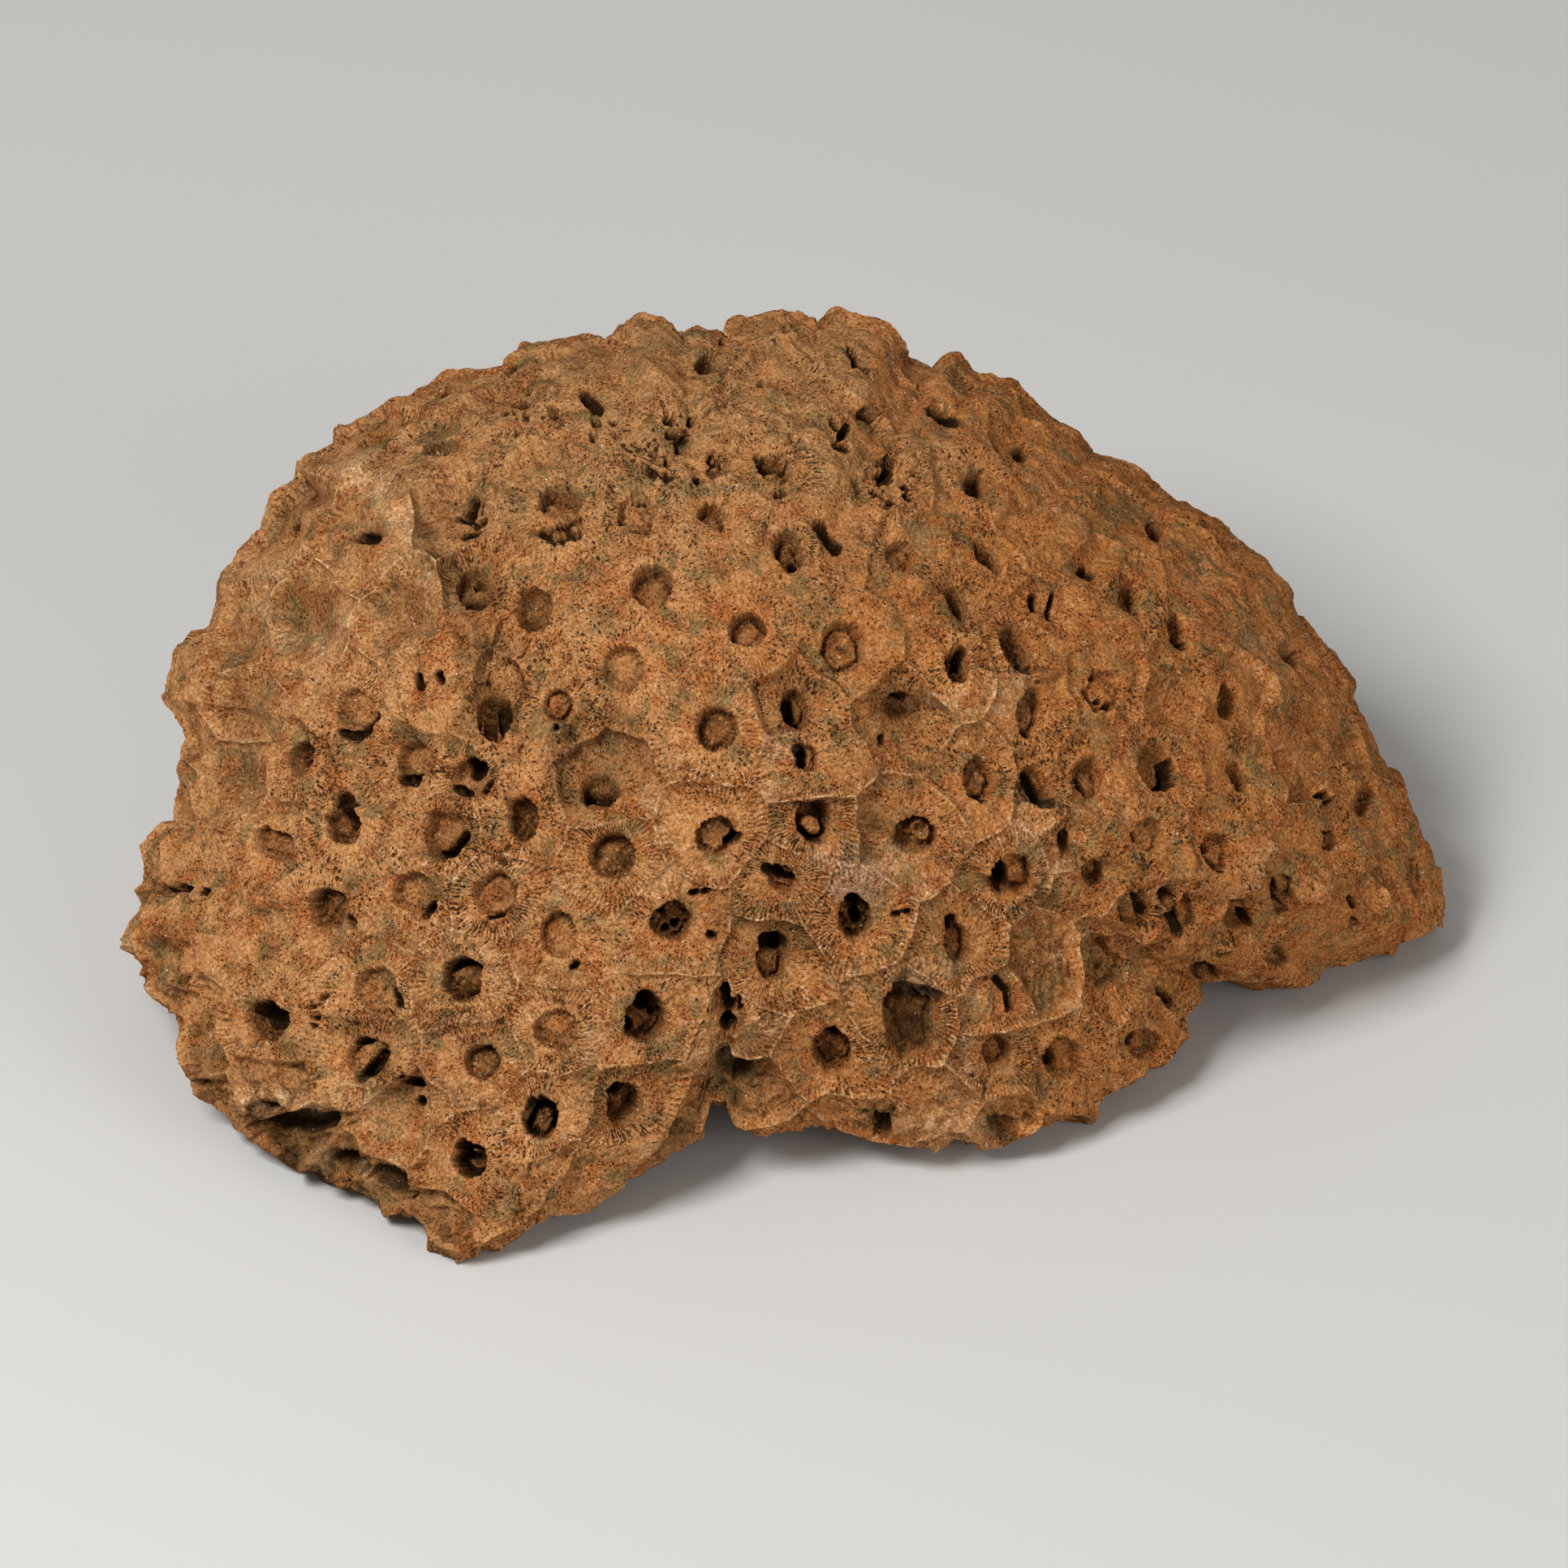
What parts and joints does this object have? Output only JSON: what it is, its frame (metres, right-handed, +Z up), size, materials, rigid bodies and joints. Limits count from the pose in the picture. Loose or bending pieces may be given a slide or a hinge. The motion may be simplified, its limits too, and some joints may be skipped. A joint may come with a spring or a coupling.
{
  "type": "fossil coral",
  "caption": "Broken dome-shaped piece of a fossil colonial coral, covered in many-sided cups with sunken pits, cut flat underneath so that it stands on display.",
  "frame": {"origin": "centre of the bounding box's plan, at the flat base", "axes": "+Z up from the flat base, +X along the longest side from the blunt knobbed end to the pointed end, -Y towards the broken front rim"},
  "size_m": [0.15, 0.1128, 0.0697],
  "materials": {
    "iron_stained_limestone": "matte"
  },
  "bodies": {
    "root": {"coral_colony": "iron_stained_limestone"}
  },
  "joints": []
}
